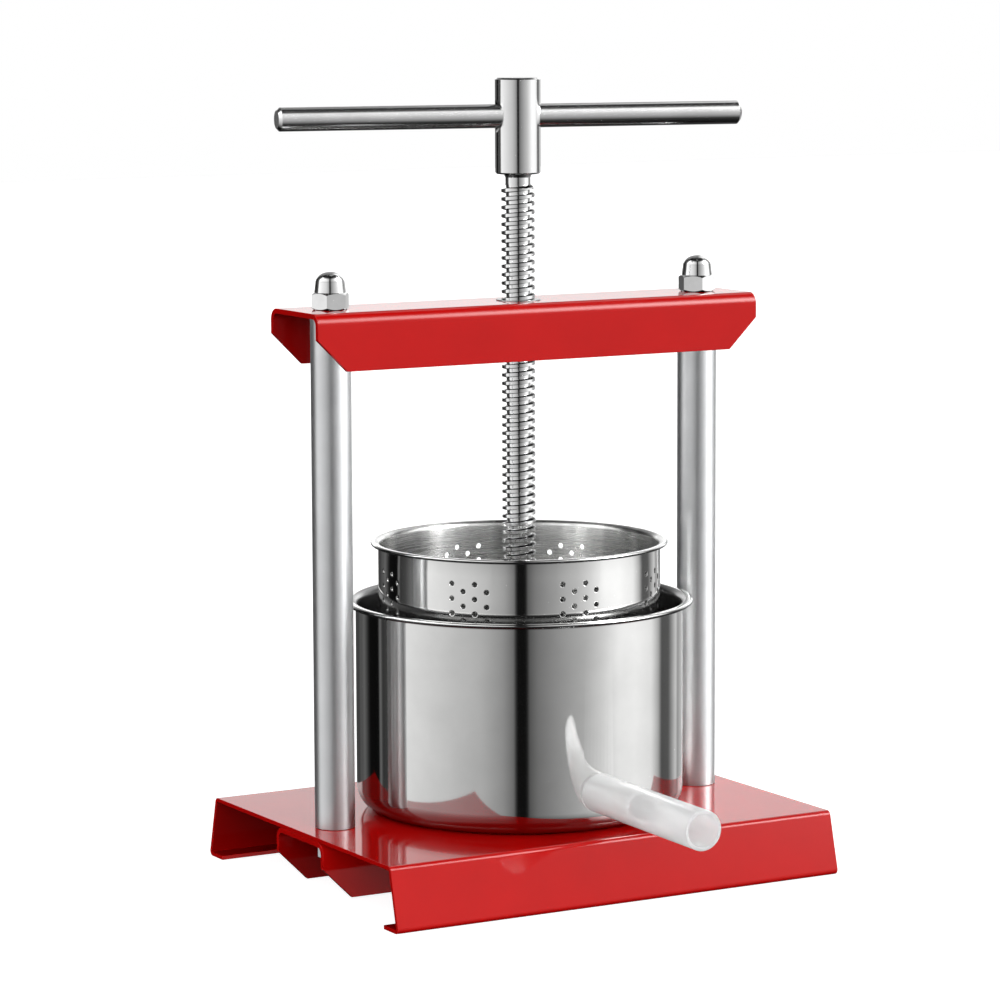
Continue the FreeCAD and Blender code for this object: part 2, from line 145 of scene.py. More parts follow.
def rounded(points, radii, steps=ARC_STEPS):
    """An open 2-D path with its corners replaced by tangent arcs."""
    path = [Vector(points[0])]
    for before, corner, after, radius in zip(points, points[1:], points[2:], radii):
        corner = Vector(corner)
        inward = (corner - Vector(before)).normalized()
        outward = (Vector(after) - corner).normalized()
        turn = inward.angle_signed(outward) * -1
        side = 1 if turn > 0 else -1
        start = corner - inward * radius * math.tan(abs(turn) / 2)
        centre = start + Vector((-inward.y, inward.x)) * radius * side
        for i in range(steps + 1):
            arm = start - centre
            arm.rotate(Matrix.Rotation(turn * i / steps, 2))
            path.append(centre + arm)
    path.append(Vector(points[-1]))
    return path


def shifted(points, distance):
    """An open 2-D path moved to its left."""
    points = [Vector(p) for p in points]
    sides = []
    for a, b in zip(points, points[1:]):
        heading = (b - a).normalized()
        sides.append(Vector((-heading.y, heading.x)))
    moved = [points[0] + sides[0] * distance]
    for point, side, after in zip(points[1:], sides, sides[1:]):
        moved.append(point + (side + after) * distance / (1 + side.dot(after)))
    moved.append(points[-1] + sides[-1] * distance)
    return moved


def sheet_faces(points, radii, thickness):
    """Outer and inner face of a bent sheet that lies to the left of its path, as two paths with
    as many points each."""
    inner_radii = []
    for a, b, c, radius in zip(points, points[1:], points[2:], radii):
        left = (Vector(b) - Vector(a)).angle_signed(Vector(c) - Vector(b)) < 0
        inner_radii.append(radius - thickness if left else radius + thickness)
    return rounded(points, radii), rounded(shifted(points, thickness), inner_radii)


# ------------------------------------------------------------------ meshes

def piece(name, verts, faces, materials, slots=None):
    """New object from vertices and faces, its normals made consistent."""
    mesh = bpy.data.meshes.new(name)
    mesh.from_pydata([tuple(v) for v in verts], [], faces)
    for material in materials:
        mesh.materials.append(material)
    if slots:
        mesh.polygons.foreach_set("material_index", slots)
    work = bmesh.new()
    work.from_mesh(mesh)
    bmesh.ops.remove_doubles(work, verts=work.verts, dist=1e-7)
    bmesh.ops.recalc_face_normals(work, faces=work.faces)
    work.to_mesh(mesh)
    work.free()
    obj = bpy.data.objects.new(name, mesh)
    bpy.context.scene.collection.objects.link(obj)
    return obj


def apply_modifiers(obj):
    """Makes the modifiers' result the object's own mesh."""
    graph = bpy.context.evaluated_depsgraph_get()
    result = bpy.data.meshes.new_from_object(obj.evaluated_get(graph), depsgraph=graph)
    obj.modifiers.clear()
    obj.data = result


def smooth(obj, angle=35):
    """Smooth shading, kept sharp at edges above the angle."""
    obj.data.shade_smooth()
    obj.data.set_sharp_from_angle(angle=math.radians(angle))


def round_edges(obj, width=EDGE_ROUNDING, angle=50):
    """Small rounded edges that catch the light, with flat faces kept flat."""
    bevel = obj.modifiers.new("edges", "BEVEL")
    bevel.width = width
    bevel.segments = 3
    bevel.limit_method = "ANGLE"
    bevel.angle_limit = math.radians(angle)
    apply_modifiers(obj)
    smooth(obj)
    weighted = obj.modifiers.new("flat_faces", "WEIGHTED_NORMAL")
    weighted.keep_sharp = True
    apply_modifiers(obj)


def add_cutter(obj, holes, segments):
    """Adds a modifier that cuts round holes, each given as (centre, axis, radius, length). The
    holes don't touch each other. Returns the cutter, which can go once the modifier is applied."""
    work = bmesh.new()
    for centre, axis, radius, length in holes:
        turn = UP.rotation_difference(axis).to_matrix().to_4x4()
        bmesh.ops.create_cone(work, cap_ends=True, segments=segments, radius1=radius,
                              radius2=radius, depth=length,
                              matrix=Matrix.Translation(centre) @ turn)
    mesh = bpy.data.meshes.new("cutter")
    work.to_mesh(mesh)
    work.free()
    cutter = bpy.data.objects.new("cutter", mesh)
    bpy.context.scene.collection.objects.link(cutter)
    cut = obj.modifiers.new("hole", "BOOLEAN")
    cut.object = cutter
    cut.solver = "EXACT"
    return cutter


def cut_holes(obj, holes):
    """Cuts round holes, each with a cutter of its own and given as (centre, axis, radius,
    length)."""
    cutters = [add_cutter(obj, [hole], CUTTER_STEPS) for hole in holes]
    apply_modifiers(obj)
    for cutter in cutters:
        bpy.data.objects.remove(cutter)


def lathe(name, outline, materials, steps=ROUND_STEPS, slots=None):
    """Closed (radius, z) outline turned about the Z axis. Points on the axis are merged."""
    verts = []
    for i in range(steps):
        angle = TAU * i / steps
        verts += [(r * math.cos(angle), r * math.sin(angle), z) for r, z in outline]
    count = len(outline)
    faces = []
    face_slots = []
    for i in range(steps):
        here = i * count
        there = (i + 1) % steps * count
        for j in range(count):
            k = (j + 1) % count
            if outline[j][0] < 1e-9 and outline[k][0] < 1e-9:
                continue
            faces.append((here + j, there + j, there + k, here + k))
            face_slots.append(slots[j] if slots else 0)
    return piece(name, verts, faces, materials, face_slots)


def sheet_along_x(name, outer, inner, end_at, materials):
    """Bent sheet run along X. end_at gives the half length at a height. The first material is
    for the outer face and the cut edges, the second for the inner face."""
    count = len(outer)
    verts = []
    for sign in (-1, 1):
        for path in (outer, inner):
            verts += [(sign * end_at(z), y, z) for y, z in path]
    faces = []
    slots = []
    for j in range(count - 1):
        faces.append((j, j + 1, 2 * count + j + 1, 2 * count + j))
        faces.append((count + j, 3 * count + j, 3 * count + j + 1, count + j + 1))
        for start in (0, 2 * count):
            faces.append((start + j, start + j + 1, start + count + j + 1, start + count + j))
        slots += [0, 1, 0, 0]
    for j in (0, count - 1):
        faces.append((j, count + j, 3 * count + j, 2 * count + j))
        slots.append(0)
    return piece(name, verts, faces, materials, slots)


# --------------------------------------------------------------- materials

def new_material(name):
    """Empty node material with its principled shader."""
    material = bpy.data.materials.new(name)
    material.use_nodes = True
    return material, material.node_tree, material.node_tree.nodes["Principled BSDF"]


def add(tree, kind, **values):
    """Adds a node and sets its properties and inputs by name."""
    node = tree.nodes.new(kind)
    for key, value in values.items():
        if hasattr(node, key):
            setattr(node, key, value)
        else:
            node.inputs[key.replace("_", " ")].default_value = value
    return node


def set_inputs(shader, **values):
    """Sets a shader's own sockets. Underscores stand for the spaces in their names."""
    for key, value in values.items():
        shader.inputs[key.replace("_", " ")].default_value = value


def position(tree, scale=(1, 1, 1)):
    """The surface point in the object's own metres, stretched by a scale."""
    coordinates = add(tree, "ShaderNodeTexCoord")
    mapping = add(tree, "ShaderNodeMapping")
    mapping.inputs["Scale"].default_value = scale
    tree.links.new(coordinates.outputs["Object"], mapping.inputs["Vector"])
    return mapping.outputs["Vector"]


def noise(tree, vector, scale, detail=3, roughness=0.5):
    """Noise texture at a scale per metre."""
    node = add(tree, "ShaderNodeTexNoise", Scale=scale, Detail=detail, Roughness=roughness)
    tree.links.new(vector, node.inputs["Vector"])
    return node.outputs["Fac"]


def ramp(tree, source, low, high, from_low=0.3, from_high=0.7):
    """A source between two limits, remapped to a range."""
    node = add(tree, "ShaderNodeMapRange")
    node.inputs["From Min"].default_value = from_low
    node.inputs["From Max"].default_value = from_high
    node.inputs["To Min"].default_value = low
    node.inputs["To Max"].default_value = high
    tree.links.new(source, node.inputs["Value"])
    return node.outputs["Result"]


def blend_colours(tree, source, first, second):
    """Colour between two, each given as a colour or a socket, by a source from 0 to 1."""
    node = add(tree, "ShaderNodeMix", data_type="RGBA")
    for socket, colour in zip([i for i in node.inputs if i.type == "RGBA"], (first, second)):
        if isinstance(colour, tuple):
            socket.default_value = (*colour, 1)
        else:
            tree.links.new(colour, socket)
    tree.links.new(source, node.inputs["Factor"])
    return [o for o in node.outputs if o.type == "RGBA"][0]


def bump(tree, shader, height, strength, distance):
    """Bump from a height, into the shader's normal."""
    node = add(tree, "ShaderNodeBump", Strength=strength, Distance=distance)
    tree.links.new(height, node.inputs["Height"])
    tree.links.new(node.outputs["Normal"], shader.inputs["Normal"])


def shade(colour, share):
    """A colour darkened to a share of itself."""
    return tuple(c * share for c in colour)


def red_powder_coat(name, colour, gloss):
    """Red powder coat: faint mottling and a fine orange peel under a clear gloss. Where glossy rays
    see it, its colour is darkened, a painted shade in its reflections on polished metal."""
    material, tree, shader = new_material(name)
    set_inputs(shader, Specular_IOR_Level=0.0, Coat_Weight=gloss, Coat_Roughness=0.05, Coat_IOR=1.36)
    vector = position(tree)
    mottle = noise(tree, vector, 45, 4)
    surface = blend_colours(tree, ramp(tree, mottle, 0, 1), colour, shade(colour, CLOUD_SHADE))
    # Painted shade: glossy rays see a darker red, so the coat's reflections in metal come out darker.
    path = add(tree, "ShaderNodeLightPath")
    deep = shade(colour, PAINTED_REFLECTION_SHADE)
    surface = blend_colours(tree, path.outputs["Is Glossy Ray"], surface, deep)
    tree.links.new(surface, shader.inputs["Base Color"])
    tree.links.new(ramp(tree, noise(tree, vector, 220, 3), 0.24, 0.34), shader.inputs["Roughness"])
    peel = noise(tree, vector, 420, 2)
    bump(tree, shader, peel, 0.10, 0.00012)
    return material


def height(tree):
    """The surface point's height in the object's own metres."""
    split = add(tree, "ShaderNodeSeparateXYZ")
    tree.links.new(position(tree), split.inputs[0])
    return split.outputs["Z"]


def flank_mask(tree):
    """1 on the flanks of the screw's thread, 0 on its crests and roots and above the thread."""
    outwards = add(tree, "ShaderNodeVectorMath", operation="LENGTH")
    tree.links.new(position(tree, (1, 1, 0)), outwards.inputs[0])
    mask = ramp(tree, height(tree), 1, 0, THREAD_TOP - THREAD_END, THREAD_TOP)
    for low_value, high_value, radius in ((0, 1, ROOT_RADIUS), (1, 0, CREST_RADIUS)):
        limit = ramp(tree, outwards.outputs["Value"], low_value, high_value,
                     radius, radius + FLANK_EDGE)
        both = add(tree, "ShaderNodeMath", operation="MULTIPLY")
        tree.links.new(limit, both.inputs[0])
        tree.links.new(mask, both.inputs[1])
        mask = both.outputs[0]
    return mask


def round_metal(name, colour, roughness, line_scale, lines, brushing=0.0, flanks=None, shade_heights=None,
                bands=0.0):
    """Metal turned or polished about its axis: fine lines run round it, cloudy gloss.

    line_scale is the number of lines per metre along Z and outwards, lines their bump, flanks the
    painted shade colour on the thread's flanks, shade_heights the heights between which a vessel's
    inside darkens with painted shade, and bands the share that its upright bands take off."""
    material, tree, shader = new_material(name)
    set_inputs(shader, Metallic=1.0)
    plain = position(tree)
    cloud = noise(tree, plain, 60, 4)
    surface = blend_colours(tree, ramp(tree, cloud, 0, 1), colour, shade(colour, CLOUD_SHADE))
    # Painted shade on the thread's flanks.
    if flanks:
        surface = blend_colours(tree, flank_mask(tree), surface, flanks)
    if bands:
        banded = shade(colour, 1 - bands)
        streaks = noise(tree, position(tree, (1, 1, 0.04)), 45, 2)
        surface = blend_colours(tree, ramp(tree, streaks, 0, 1, 0.42, 0.58), surface, banded)
    # Painted shade: the vessel's inside darkens towards its floor, between the two heights.
    if shade_heights:
        deep = shade(colour, PAINTED_DEPTH_SHADE)
        surface = blend_colours(tree, ramp(tree, height(tree), 1, 0, *shade_heights), surface, deep)
    tree.links.new(surface, shader.inputs["Base Color"])
    fine = noise(tree, position(tree, (1, 1, line_scale / 20)), 20, 4, 0.7)
    spread = ramp(tree, fine, roughness * 0.88, roughness * 1.15)
    tree.links.new(spread, shader.inputs["Roughness"])
    if brushing:
        shader.inputs["Anisotropic"].default_value = brushing
        shader.inputs["Anisotropic Rotation"].default_value = 0.25
    bump(tree, shader, fine, lines, 0.00005)
    return material


def flat_metal(name, colour, roughness):
    """Plated or ground metal with a fine grain and cloudy gloss."""
    material, tree, shader = new_material(name)
    set_inputs(shader, Metallic=1.0)
    cloud = noise(tree, position(tree), 90, 4)
    surface = blend_colours(tree, ramp(tree, cloud, 0, 1), colour, shade(colour, PLATE_SHADE))
    tree.links.new(surface, shader.inputs["Base Color"])
    fine = noise(tree, position(tree, (400, 400, 400)), 1, 4, 0.7)
    spread = ramp(tree, fine, roughness * 0.75, roughness * 1.35)
    tree.links.new(spread, shader.inputs["Roughness"])
    bump(tree, shader, fine, 0.08, 0.00005)
    return material


def milky_hose():
    """Translucent milky plastic with faint extrusion lines, and a faint painted glow that brightens it
    as if light passed through.
    """
    material, tree, shader = new_material("milky_hose")
    set_inputs(shader, IOR=1.25, Transmission_Weight=0.6)
    set_inputs(shader, Subsurface_Weight=1.0, Subsurface_Scale=0.008, Subsurface_Radius=(1, 1, 1))
    # Painted glow: a faint emission that brightens the hose as if light came through it.
    set_inputs(shader, Emission_Color=(1, 1, 1, 1), Emission_Strength=0.07)
    vector = position(tree)
    cloud = noise(tree, vector, 70, 3)
    colour = blend_colours(tree, ramp(tree, cloud, 0, 1), (1.0, 1.0, 1.0), (0.96, 0.97, 0.98))
    tree.links.new(colour, shader.inputs["Base Color"])
    tree.links.new(ramp(tree, noise(tree, vector, 300, 3), 0.16, 0.22), shader.inputs["Roughness"])
    lines = noise(tree, position(tree, (900, 30, 900)), 1, 2)
    bump(tree, shader, lines, 0.02, 0.00002)
    return material


RED = red_powder_coat("red_powder_coat", (0.56, 0.0032, 0.0027), 1.0)
# Inner faces: a thinner, less glossy coat, and a darker red that is painted shade.
RED_INSIDE = red_powder_coat("thin_red_coat_painted_shade", (0.30, 0.0012, 0.0012), 0.2)
MIRROR = round_metal("mirror_stainless", (0.93, 0.93, 0.92), 0.06, 900, 0.010)
# Painted shade: near-black steel under the hems and on the holes' walls.
SHADE_STAINLESS = round_metal("dark_stainless_painted_shade", (0.16, 0.16, 0.16), 0.25, 900, 0.010)
BRUSHED = round_metal("brushed_stainless", (0.80, 0.80, 0.79), 0.22, 2600, 0.05, brushing=0.75)
# Its inside darkens lower down with painted shade.
INSIDE = round_metal("brushed_inside_painted_shade", (0.97, 0.97, 0.96), 0.26, 2600, 0.05, brushing=0.75,
                     shade_heights=INSIDE_SHADE_HEIGHTS, bands=0.4)
# Painted shade: the pot's inside is made far darker than the basket's brushed steel.
SHADED_SATIN = round_metal("dark_satin_stainless_painted_shade", (0.26, 0.26, 0.26), 0.24, 2600, 0.05, brushing=0.6)
TURNED = round_metal("polished_spindle", (0.92, 0.92, 0.92), 0.10, 1800, 0.02)
BAR = round_metal("polished_bar", (0.90, 0.90, 0.90), 0.16, 1800, 0.01)
# Painted shade: the thread's flanks are nearly black.
THREAD = round_metal("spindle_painted_flank_shade", (0.95, 0.95, 0.95), 0.10, 1800, 0.02,
                     flanks=(0.03, 0.03, 0.03))
POST = round_metal("satin_aluminium", (0.86, 0.87, 0.88), 0.40, 5000, 0.004, brushing=0.3)
BUSH = round_metal("turned_bush", (0.52, 0.52, 0.52), 0.25, 2500, 0.1)
NUT = flat_metal("polished_nut", (0.97, 0.97, 0.97), 0.07)
ZINC = flat_metal("zinc_plate", (0.66, 0.68, 0.71), 0.26)
SPRING = flat_metal("spring_steel", (0.16, 0.16, 0.17), 0.3)
HOSE = milky_hose()


def finish_piece(obj, body, slot, *replaced):
    """Gives a piece its body and hides the CAD nodes that it stands for. The slot is not used."""
    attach(obj, body)
    if replaced:
        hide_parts(*replaced)


def repaint(node, material):
    """A better material on a CAD node."""
    nodes[node].data.materials.clear()
    nodes[node].data.materials.append(material)


# ------------------------------------------------------------- sheet frame

tray_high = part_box("base_tray")[1]
TRAY_HALF_LENGTH = tray_high.x
TRAY_TOP = tray_high.z
POST_X = (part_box("right_post")[0].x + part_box("right_post")[1].x) / 2


def rod_holes(top):
    """The tie rods' clearance holes through a sheet, whose top is at a height."""
    return [(Vector((x, 0, top)), UP, ROD_HOLE_RADIUS, HOLE_CUTTER) for x in (-POST_X, POST_X)]


def build_tray():
    """Folded base tray with slanting flanges and inturned lips."""
    foot = TRAY_FOOT_WIDTH / 2
    top = TRAY_TOP_WIDTH / 2
    path = [(foot - TRAY_LIP, 0), (foot, 0), (top, TRAY_TOP), (-top, TRAY_TOP),
            (-foot, 0), (TRAY_LIP - foot, 0)]
    outer, inner = sheet_faces(path, [TRAY_BEND] * 4, TRAY_SHEET)
    tray = sheet_along_x("tray_shell", outer, inner, lambda z: TRAY_HALF_LENGTH,
                         [RED, RED_INSIDE])
    cut_holes(tray, rod_holes(TRAY_TOP))
    round_edges(tray)
    finish_piece(tray, "frame", "red_paint", "base_tray")


def build_channel(node, name, extra_holes=()):
    """Inverted channel with its flanges cut back at both ends."""
    box_low, box_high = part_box(node)
    shoulder = box_high.z - BEAM_END_HEIGHT
    side = box_high.y
    path = [(side, box_low.z), (side, shoulder), (side, box_high.z), (-side, box_high.z),
            (-side, shoulder), (-side, box_low.z)]
    outer, inner = sheet_faces(path, [0, BEAM_BEND, BEAM_BEND, 0], BEAM_SHEET)

    def half_length(z):
        drop = max(0, shoulder - z) / (shoulder - box_low.z)
        return box_high.x - drop * BEAM_END_CUT

    channel = sheet_along_x(name, outer, inner, half_length, [RED, RED_INSIDE])
    cut_holes(channel, rod_holes(box_high.z) + list(extra_holes))
    round_edges(channel)
    finish_piece(channel, "frame", "red_paint", node)
    return channel


build_tray()
build_channel("base_channel", "under_channel")
bush_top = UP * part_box("top_beam")[1].z
bush_hole = (bush_top, UP, BUSH_HOLE_RADIUS, HOLE_CUTTER)
beam = build_channel("top_beam", "beam_shell", [bush_hole])
beam.visible_glossy = False


# ------------------------------------------------------------------- posts

def build_post(node, name):
    """Drawn tube with finely broken ends."""
    box_low, box_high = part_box(node)
    centre_x = (box_low.x + box_high.x) / 2
    radius = (box_high.x - box_low.x) / 2
    bore = radius - POST_WALL
    edge = radius - POST_EDGE
    outline = [(bore, box_low.z), (edge, box_low.z), (radius, box_low.z + POST_EDGE),
               (radius, box_high.z - POST_EDGE), (edge, box_high.z), (bore, box_high.z)]
    post = lathe(name, outline, [POST], POST_STEPS)
    post.data.transform(Matrix.Translation((centre_x, 0, 0)))
    smooth(post)
    finish_piece(post, "frame", "satin_aluminium", node)


build_post("left_post", "left_column")
build_post("right_post", "right_column")


# --------------------------------------------------------------- pot, hose

def pan_faces(foot, top, radius, corner, sheet, overhang, rim_depth, flare):
    """Outer and inner face of a pan of bent sheet, its mouth flared and hemmed under."""
    curl = rim_depth / 2 - sheet
    flange = top - sheet
    tuck = top - rim_depth + sheet
    edge = radius + overhang - sheet
    path = [(0, foot), (radius, foot), (radius, flange), (edge, flange), (edge, tuck),
            ((radius + edge) / 2, tuck)]
    return sheet_faces(path, [corner, flare, curl, curl], sheet)


pot_low, pot_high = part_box("outer_pot")
POT_RADIUS = pot_high.x - POT_RIM_OVERHANG
joints = {joint["name"]: joint for joint in frame["record"]["behaviour"]["joints"]}
hose_axis = Vector(joints["hose_pull"]["axis"])
outlet = UP * OUTLET_HEIGHT


def inner_slots(points, corner, overhang, rim_depth):
    """Material slots along a pan's inner face: brushed inside, a polished hem, and dark metal as
    painted shade beneath it.
    """
    slots = []
    for radius, z in points:
        if radius < corner.x - overhang / 2:
            slots.append(1)
        else:
            slots.append(2 if z < corner.z - rim_depth / 2 else 0)
    return slots


def build_pot():
    """Mirror-polished pot, brushed inside, with the outlet's hole."""
    outer, inner = pan_faces(pot_low.z, pot_high.z, POT_RADIUS, POT_CORNER, POT_SHEET,
                             POT_RIM_OVERHANG, POT_RIM_DEPTH, POT_FLARE)
    outline = outer + inner[::-1]
    slots = [0] * len(outer)
    slots += inner_slots(inner[::-1], pot_high, POT_RIM_OVERHANG, POT_RIM_DEPTH)
    pot = lathe("whey_pot", outline, [MIRROR, SHADED_SATIN, SHADE_STAINLESS], ROUND_STEPS, slots)
    cut_holes(pot, [(outlet + hose_axis * POT_RADIUS, hose_axis, STUB_RADIUS, OUTLET_CUTTER)])
    smooth(pot)
    finish_piece(pot, "pot", "stainless_mirror", "outer_pot")


def build_hose():
    """Milky sleeve with softly broken ends."""
    turn = UP.rotation_difference(hose_axis).to_matrix().to_4x4()
    path = [(HOSE_BORE, HOSE_START), (HOSE_RADIUS, HOSE_START), (HOSE_RADIUS, HOSE_REACH),
            (HOSE_BORE, HOSE_REACH), (HOSE_BORE, HOSE_START)]
    outline = rounded(path, [HOSE_EDGE] * 3, HOSE_EDGE_STEPS)[:-1]
    hose = lathe("milky_sleeve", outline, [HOSE], HOSE_STEPS)
    hose.data.transform(Matrix.Translation(outlet) @ turn)
    smooth(hose, 60)
    finish_piece(hose, "hose", "clear_hose", "outlet_hose")


build_pot()
build_hose()


# ------------------------------------------------------------------ basket

basket_low, basket_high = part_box("basket")
BASKET_RADIUS = basket_high.x - BASKET_RIM_OVERHANG
column_angle = HOLE_COLUMN_STEP / BASKET_RADIUS


def basket_angles():
    """Angles of the wall's mesh columns, and which of them start a hole's cell."""
    angles = []
    starts = []
    group_width = HOLE_COLUMNS * column_angle
    gap = TAU / HOLE_GROUPS - group_width
    for group in range(HOLE_GROUPS):
        first = HOLE_GROUP_TURN + group * TAU / HOLE_GROUPS - group_width / 2
        for column in range(HOLE_COLUMNS):
            starts.append((len(angles), column))
            angles += [first + (column + i / CELL_STEPS) * column_angle for i in range(CELL_STEPS)]
        angles += [first + group_width + gap * i / PLAIN_STEPS for i in range(PLAIN_STEPS)]
    return angles, starts


def wall_point(angle, z, radius):
    """Point on a cylinder."""
    return (radius * math.cos(angle), radius * math.sin(angle), z)


def cell_border(grid, first_row, start):
    """The vertices round a hole's cell."""
    columns = len(grid[0])
    last_row = first_row + CELL_STEPS
    last = start + CELL_STEPS
    ring = [grid[first_row][(start + i) % columns] for i in range(CELL_STEPS)]
    ring += [grid[first_row + i][last % columns] for i in range(CELL_STEPS)]
    ring += [grid[last_row][(last - i) % columns] for i in range(CELL_STEPS)]
    ring += [grid[last_row - i][start] for i in range(CELL_STEPS)]
    return ring


def add_hole(verts, faces, slots, perimeter, centre_angle, centre_z, radius, inward):
    """Fills a hole's cell with rings that end in a rounded edge. Returns the last ring."""
    count = len(perimeter)
    rings = [perimeter]
    for beyond, deep in HOLE_RINGS:
        reach = HOLE_RADIUS + beyond * HOLE_EDGE
        depth = deep * HOLE_EDGE
        ring = []
        for vertex in perimeter:
            x, y, z = verts[vertex]
            across = math.atan2(y, x) - centre_angle
            across = (across + math.pi) % TAU - math.pi
            heading = math.atan2(z - centre_z, across * BASKET_RADIUS)
            angle = centre_angle + reach * math.cos(heading) / BASKET_RADIUS
            ring.append(len(verts))
            place = wall_point(angle, centre_z + reach * math.sin(heading), radius + inward * depth)
            verts.append(place)
        rings.append(ring)
    for outer_ring, inner_ring in zip(rings, rings[1:]):
        for i in range(count):
            k = (i + 1) % count
            faces.append((outer_ring[i], outer_ring[k], inner_ring[k], inner_ring[i]))
            slots.append(1 if inward > 0 else 0)
    return rings[-1]


def wall_heights():
    """Heights of the wall's mesh rows, from the top down."""
    unit = HOLE_ROW_STEP / CELL_STEPS
    half = CELL_STEPS // 2
    rows_below = (HOLE_ROWS - 1) * CELL_STEPS + 2 * half
    wall_top = HOLE_TOP + half * unit
    return [wall_top - unit * k for k in range(rows_below + half + 1)]


def add_perforations(verts, faces, slots, grids, angles, starts, heights):
    """Every hole of the wall, on both faces. Returns the mesh cells that they take up and each
    hole's pair of last rings."""
    half = CELL_STEPS // 2
    covered = set()
    last_rings = []
    for start, column in starts:
        centre_angle = angles[start] + column_angle / 2
        for row in range(HOLE_ROWS):
            first_row = row * CELL_STEPS + half * (column % 2)
            centre_z = heights[first_row + half]
            for i in range(CELL_STEPS):
                covered.update((first_row + i, start + j) for j in range(CELL_STEPS))
            pair = []
            for side, grid in enumerate(grids):
                border = cell_border(grid, first_row, start)
                radius = BASKET_RADIUS - side * BASKET_SHEET
                inward = 1 if side else -1
                pair.append(add_hole(verts, faces, slots, border, centre_angle, centre_z,
                                     radius, inward))
            last_rings.append(pair)
    return covered, last_rings


def build_basket():
    """Perforated basket: polished outside, brushed inside."""
    outer, inner = pan_faces(basket_low.z, basket_high.z, BASKET_RADIUS, BASKET_CORNER, BASKET_SHEET,
                             BASKET_RIM_OVERHANG, BASKET_RIM_DEPTH, BASKET_FLARE)
    angles, starts = basket_angles()
    columns = len(angles)
    heights = wall_heights()
    verts, faces, slots = [], [], []
    grids = []
    for radius in (BASKET_RADIUS, BASKET_RADIUS - BASKET_SHEET):
        grid = []
        for z in heights:
            grid.append(list(range(len(verts), len(verts) + columns)))
            verts += [wall_point(angle, z, radius) for angle in angles]
        grids.append(grid)
    covered, last_rings = add_perforations(verts, faces, slots, grids, angles, starts, heights)
    for side, grid in enumerate(grids):
        for row in range(len(heights) - 1):
            for j in range(columns):
                if (row, j) in covered:
                    continue
                k = (j + 1) % columns
                faces.append((grid[row][j], grid[row][k], grid[row + 1][k], grid[row + 1][j]))
                slots.append(side)
    # The holes' walls take the dark metal, painted shade inside the holes.
    for outside, inside in last_rings:
        for i in range(len(outside)):
            k = (i + 1) % len(outside)
            faces.append((outside[i], outside[k], inside[k], inside[i]))
            slots.append(2)
    add_turned_band(verts, faces, slots, angles, outer, inner, heights, grids)
    basket = piece("perforated_basket", verts, faces, [MIRROR, INSIDE, SHADE_STAINLESS], slots)
    cut_holes_in_floor(basket)
    smooth(basket, 40)
    finish_piece(basket, "basket", "stainless_mirror", "basket")


def add_turned_band(verts, faces, slots, angles, outer, inner, heights, grids):
    """Rim above the perforated wall, and the corner and floor below it, turned at the wall's
    own columns."""
    columns = len(angles)
    wall_top, wall_foot = heights[0], heights[-1]
    above_outer = [p for p in outer if p.y > wall_top + 1e-6]
    above_inner = [p for p in inner if p.y > wall_top + 1e-6]
    below_outer = [p for p in outer if p.y < wall_foot - 1e-6 and p.x > 1e-6]
    below_inner = [p for p in inner if p.y < wall_foot - 1e-6 and p.x > 1e-6]

    def strips(start_ring, path, path_slots):
        ring = start_ring
        for (radius, z), slot in zip(path, path_slots):
            new_ring = list(range(len(verts), len(verts) + columns))
            verts.extend(wall_point(angle, z, radius) for angle in angles)
            for j in range(columns):
                k = (j + 1) % columns
                faces.append((ring[j], ring[k], new_ring[k], new_ring[j]))
                slots.append(slot)
            ring = new_ring
        return ring

    rim_slots = inner_slots(above_inner, basket_high, BASKET_RIM_OVERHANG, BASKET_RIM_DEPTH)
    rim_outer = strips(grids[0][0], above_outer, [0] * len(above_outer))
    rim_inner = strips(grids[1][0], above_inner, rim_slots)
    floor_outer = strips(grids[0][-1], below_outer[::-1], [0] * len(below_outer))
    floor_inner = strips(grids[1][-1], below_inner[::-1], [1] * len(below_inner))
    for j in range(columns):
        k = (j + 1) % columns
        faces.append((rim_outer[j], rim_outer[k], rim_inner[k], rim_inner[j]))
        slots.append(0)
    floors = ((floor_outer, basket_low.z, 0), (floor_inner, basket_low.z + BASKET_SHEET, 1))
    for ring, z, slot in floors:
        centre = len(verts)
        verts.append((0, 0, z))
        for j in range(columns):
            faces.append((ring[j], ring[(j + 1) % columns], centre))
            slots.append(slot)


def cut_holes_in_floor(basket):
    """The floor's perforations, in rings round a centre hole."""
    holes = [(UP * basket_low.z, UP, HOLE_RADIUS, FLOOR_HOLE_CUTTER)]
    for ring in range(1, FLOOR_HOLE_RINGS + 1):
        for i in range(6 * ring):
            angle = TAU * i / (6 * ring)
            place = Vector((math.cos(angle), math.sin(angle), 0)) * ring * FLOOR_HOLE_STEP
            holes.append((place + UP * basket_low.z, UP, HOLE_RADIUS, FLOOR_HOLE_CUTTER))
    cutter = add_cutter(basket, holes, FLOOR_CUTTER_STEPS)
    apply_modifiers(basket)
    bpy.data.objects.remove(cutter)


build_basket()


# -------------------------------------------------- materials on CAD nodes

repaint("press_screw", THREAD)
repaint("handle_hub", TURNED)
repaint("handle_bar", BAR)
for node in ("left_cap_nut", "right_cap_nut"):
    repaint(node, NUT)
for node in ("left_tie_rod", "right_tie_rod", "base_washers", "base_nuts"):
    repaint(node, ZINC)
repaint("screw_bush", BUSH)
repaint("retaining_ring", SPRING)
for node in ("pressure_plate", "plate_boss"):
    repaint(node, BRUSHED)
repaint("spout_stub", MIRROR)


# ------------------------------------------------------- camera and studio

CAMERA_PLACE = Vector((-0.9633, -1.6607, 0.4316))
CAMERA_TARGET = Vector((-0.0079, 0.00453, 0.17873))
CAMERA_ROLL = math.radians(-0.219)
CAMERA_LENS = 145.2
CAMERA_SENSOR = 36
CAMERA_REACH = 50

